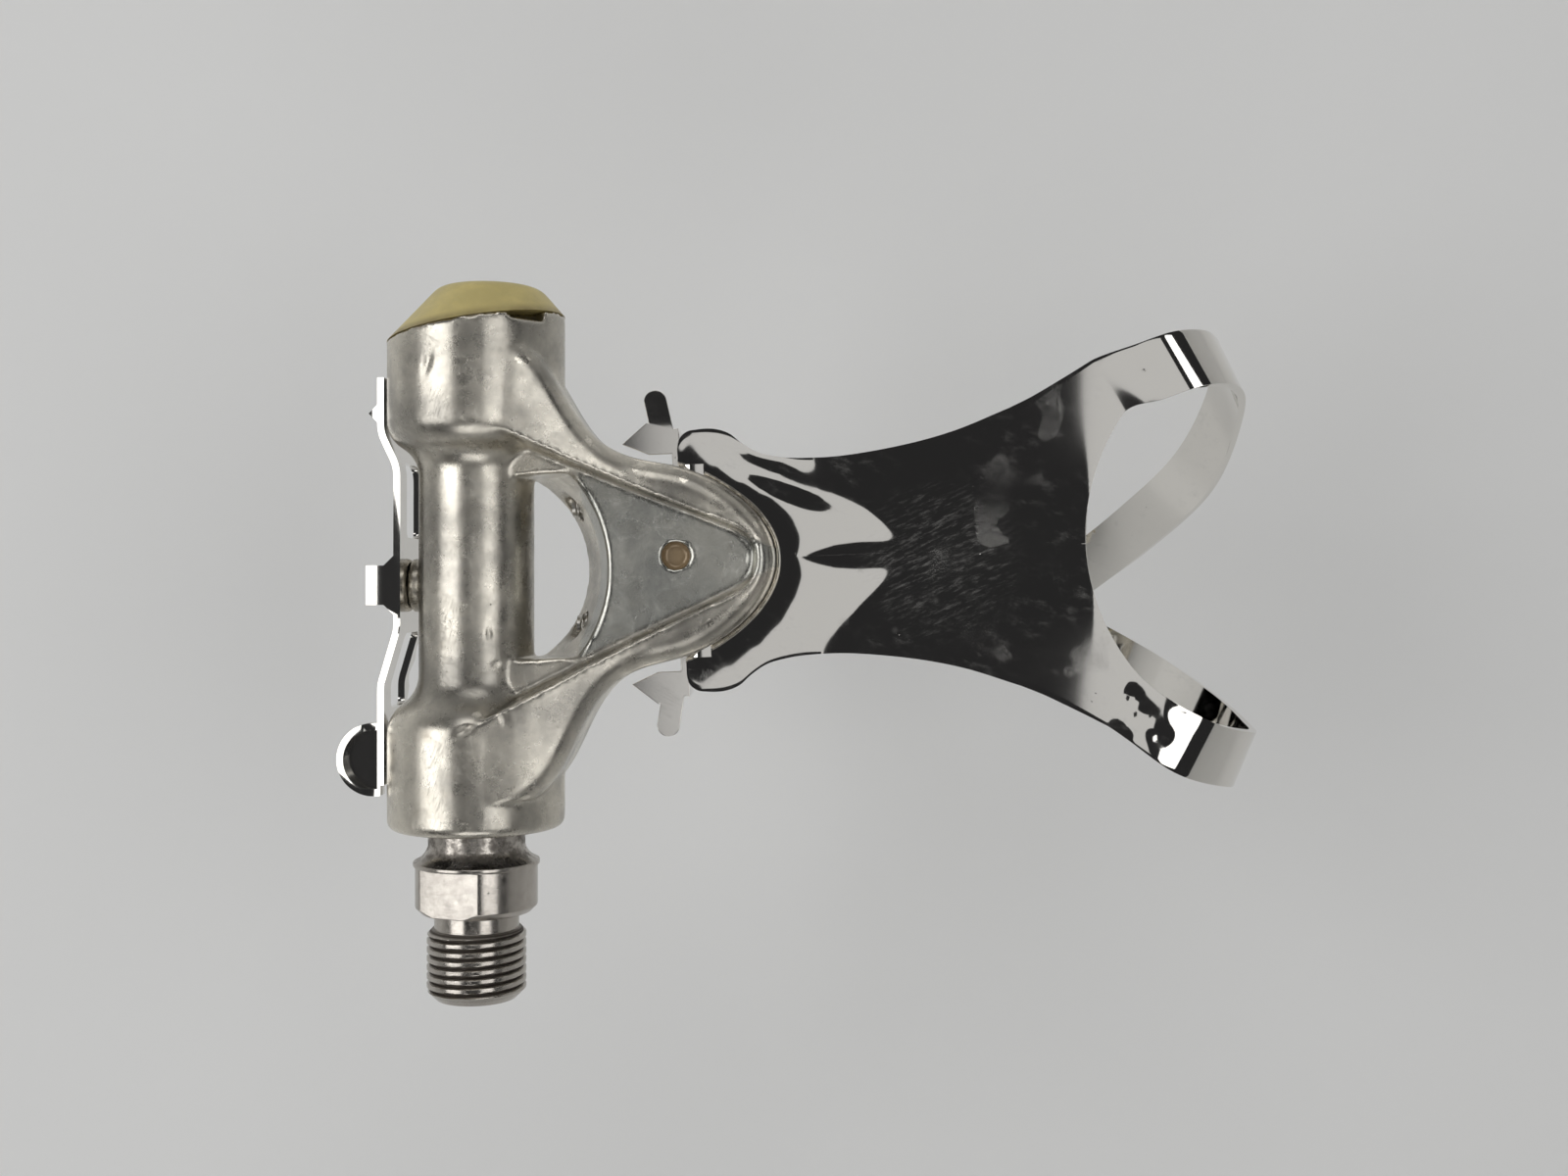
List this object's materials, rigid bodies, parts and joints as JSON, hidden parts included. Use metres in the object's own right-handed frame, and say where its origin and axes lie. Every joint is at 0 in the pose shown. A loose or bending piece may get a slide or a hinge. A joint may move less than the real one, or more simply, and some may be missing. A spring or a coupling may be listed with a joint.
{
  "type": "toe clip pedal",
  "caption": "Single-sided road bicycle pedal: forged body turning on a threaded spindle, chromed toothed plates, plastic dust cap and a bent steel toe clip with strap loop.",
  "frame": {"origin": "on the spindle axis, at the shoulder that seats on the crank arm", "axes": "+Y along the spindle, away from the crank; +X to the toe; +Z out of the underside, which faces up as pictured"},
  "size_m": [0.1364, 0.1031, 0.0731],
  "materials": {
    "body_alloy": "worn satin",
    "spindle_steel": "worn nickel",
    "bearing_steel": "polished",
    "screw_steel": "plated",
    "plate_chrome": "chromed, scratched",
    "clip_chrome": "chromed, scratched",
    "cap_plastic": "satin, aged",
    "seal_rubber": "matt"
  },
  "bodies": {
    "spindle_group": {"spindle": "spindle_steel", "outer_cone": "bearing_steel", "lock_washer": "screw_steel", "locknut": "screw_steel"},
    "pedal": {"inner_bearing_cup": "bearing_steel", "outer_bearing_cup": "bearing_steel", "dust_seal": "seal_rubber", "pedal_body": "body_alloy", "dust_cap": "cap_plastic", "rear_plate": "plate_chrome", "rear_plate_screw": "screw_steel", "front_plate": "plate_chrome", "toe_clip": "clip_chrome", "clip_screw_1": "screw_steel", "clip_washer_1": "screw_steel", "clip_nut_1": "screw_steel", "clip_screw_2": "screw_steel", "clip_washer_2": "screw_steel", "clip_nut_2": "screw_steel", "inner_ball_1": "bearing_steel", "inner_ball_2": "bearing_steel", "inner_ball_3": "bearing_steel", "inner_ball_4": "bearing_steel", "inner_ball_5": "bearing_steel", "inner_ball_6": "bearing_steel", "inner_ball_7": "bearing_steel", "inner_ball_8": "bearing_steel", "inner_ball_9": "bearing_steel", "inner_ball_10": "bearing_steel", "outer_ball_1": "bearing_steel", "outer_ball_2": "bearing_steel", "outer_ball_3": "bearing_steel", "outer_ball_4": "bearing_steel", "outer_ball_5": "bearing_steel", "outer_ball_6": "bearing_steel", "outer_ball_7": "bearing_steel", "outer_ball_8": "bearing_steel", "outer_ball_9": "bearing_steel", "outer_ball_10": "bearing_steel"}
  },
  "joints": [
    {"name": "pedal_spin", "type": "hinge", "parent": "spindle_group", "child": "pedal", "pos_m": [0, 0, 0], "axis": [0, 1, 0], "continuous": true}
  ]
}
